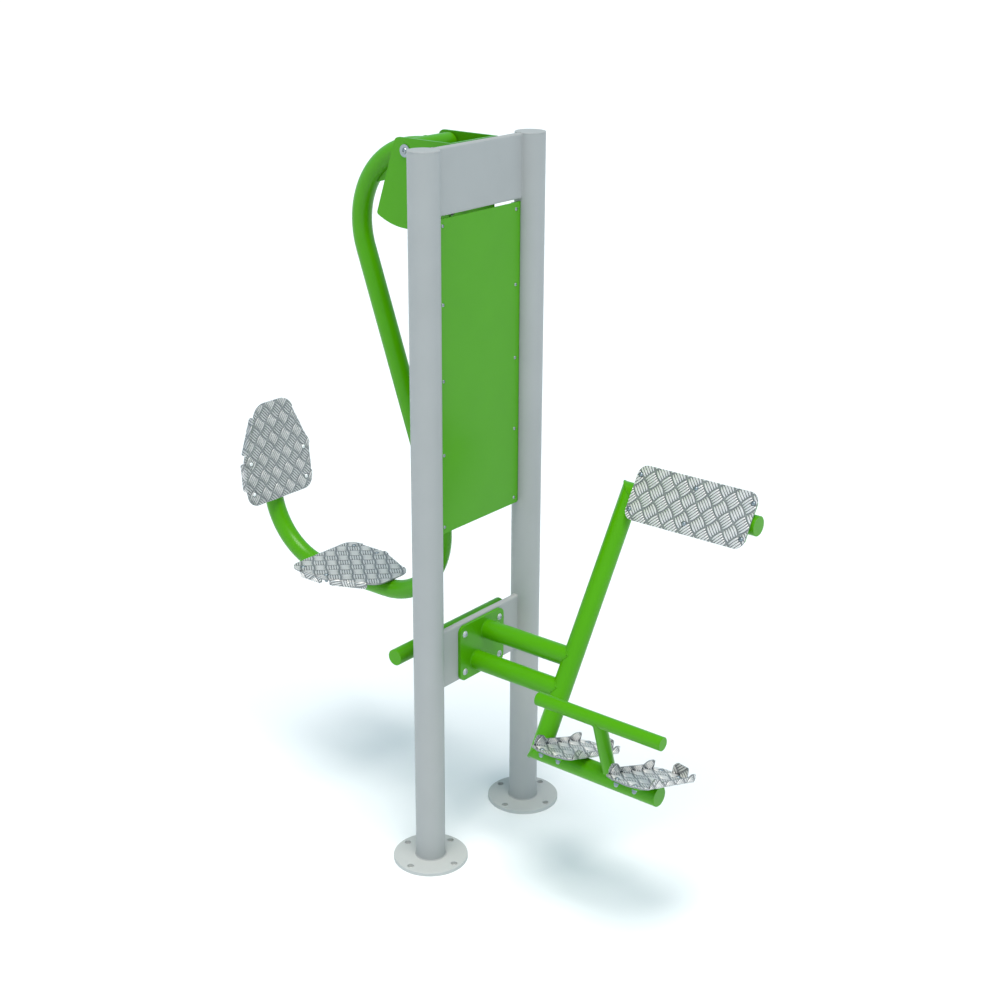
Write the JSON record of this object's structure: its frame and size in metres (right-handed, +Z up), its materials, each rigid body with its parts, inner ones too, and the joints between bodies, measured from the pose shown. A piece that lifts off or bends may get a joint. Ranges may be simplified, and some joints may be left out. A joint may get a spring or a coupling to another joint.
{
  "type": "outdoor leg press and back extension",
  "caption": "Street fitness station: two posts with a panel, a swinging seat with foot bar on one side and a thigh pad with ankle bar and foot plates on the other.",
  "frame": {"origin": "on the ground, midway between the two posts, at the centre of the foundation bolts", "axes": "+Z up, +X along the posts towards the thigh pad's side, -Y towards the back extension, +Y towards the leg press seat"},
  "size_m": [0.691, 1.7234, 2.166],
  "materials": {
    "green_powder_coat": "glossy powder coat",
    "grey_powder_coat": "satin powder coat",
    "flange_coat": "satin powder coat",
    "tread_plate": "rolled tread plate",
    "stainless_steel": "stainless",
    "bearing_steel": "ground",
    "rubber": "matte"
  },
  "bodies": {
    "frame": {"post_left": "grey_powder_coat", "post_right": "grey_powder_coat", "post_caps": "grey_powder_coat", "base_flange_left": "flange_coat", "base_flange_right": "flange_coat", "top_crossmember": "grey_powder_coat", "lower_crossmember": "grey_powder_coat", "crush_sleeves": "bearing_steel", "panel": "green_powder_coat", "panel_rails": "green_powder_coat", "panel_screws": "stainless_steel", "front_joint_plate": "green_powder_coat", "support_tube_upper": "green_powder_coat", "support_tube_lower": "green_powder_coat", "mast": "green_powder_coat", "pad_bar": "green_powder_coat", "pad_straps": "green_powder_coat", "thigh_pad_plate": "tread_plate", "pad_bolts": "stainless_steel", "foot_bar": "green_powder_coat", "main_bar_caps": "green_powder_coat", "ankle_stub": "green_powder_coat", "ankle_bar": "green_powder_coat", "ankle_bar_caps": "green_powder_coat", "foot_brackets": "green_powder_coat", "foot_plate_near": "tread_plate", "foot_plate_far": "tread_plate", "foot_plate_bolts": "stainless_steel", "frame_dome_nuts": "stainless_steel", "rear_joint_plate": "green_powder_coat", "press_bar_stubs": "green_powder_coat", "press_bar": "green_powder_coat", "press_bar_caps": "green_powder_coat", "joint_bolts": "stainless_steel", "joint_washers": "stainless_steel", "joint_nuts": "stainless_steel", "pivot_back_plate": "green_powder_coat", "pivot_side_plate_left": "green_powder_coat", "pivot_side_plate_right": "green_powder_coat", "pivot_axle": "bearing_steel", "pivot_washers": "stainless_steel", "pivot_bolts": "stainless_steel", "bearing_inner_rings": "bearing_steel", "bearing_spacers": "bearing_steel", "stop_bars": "green_powder_coat", "stop_buffers": "rubber"},
    "swing_seat": {"pivot_housing": "green_powder_coat", "bearing_outer_rings": "bearing_steel", "bearing_balls": "bearing_steel", "bearing_seals": "rubber", "swing_arm": "green_powder_coat", "arm_gusset": "green_powder_coat", "arm_end_cap": "green_powder_coat", "seat_straps": "green_powder_coat", "seat_plate": "tread_plate", "seat_bolts": "stainless_steel", "backrest_straps": "green_powder_coat", "backrest_plate": "tread_plate", "backrest_bolts": "stainless_steel", "seat_dome_nuts": "stainless_steel"}
  },
  "joints": [
    {"name": "seat_swing", "type": "hinge", "parent": "frame", "child": "swing_seat", "pos_m": [0, 0.182, 2.1305], "axis": [1, 0, 0], "range_deg": [0, 25]}
  ]
}
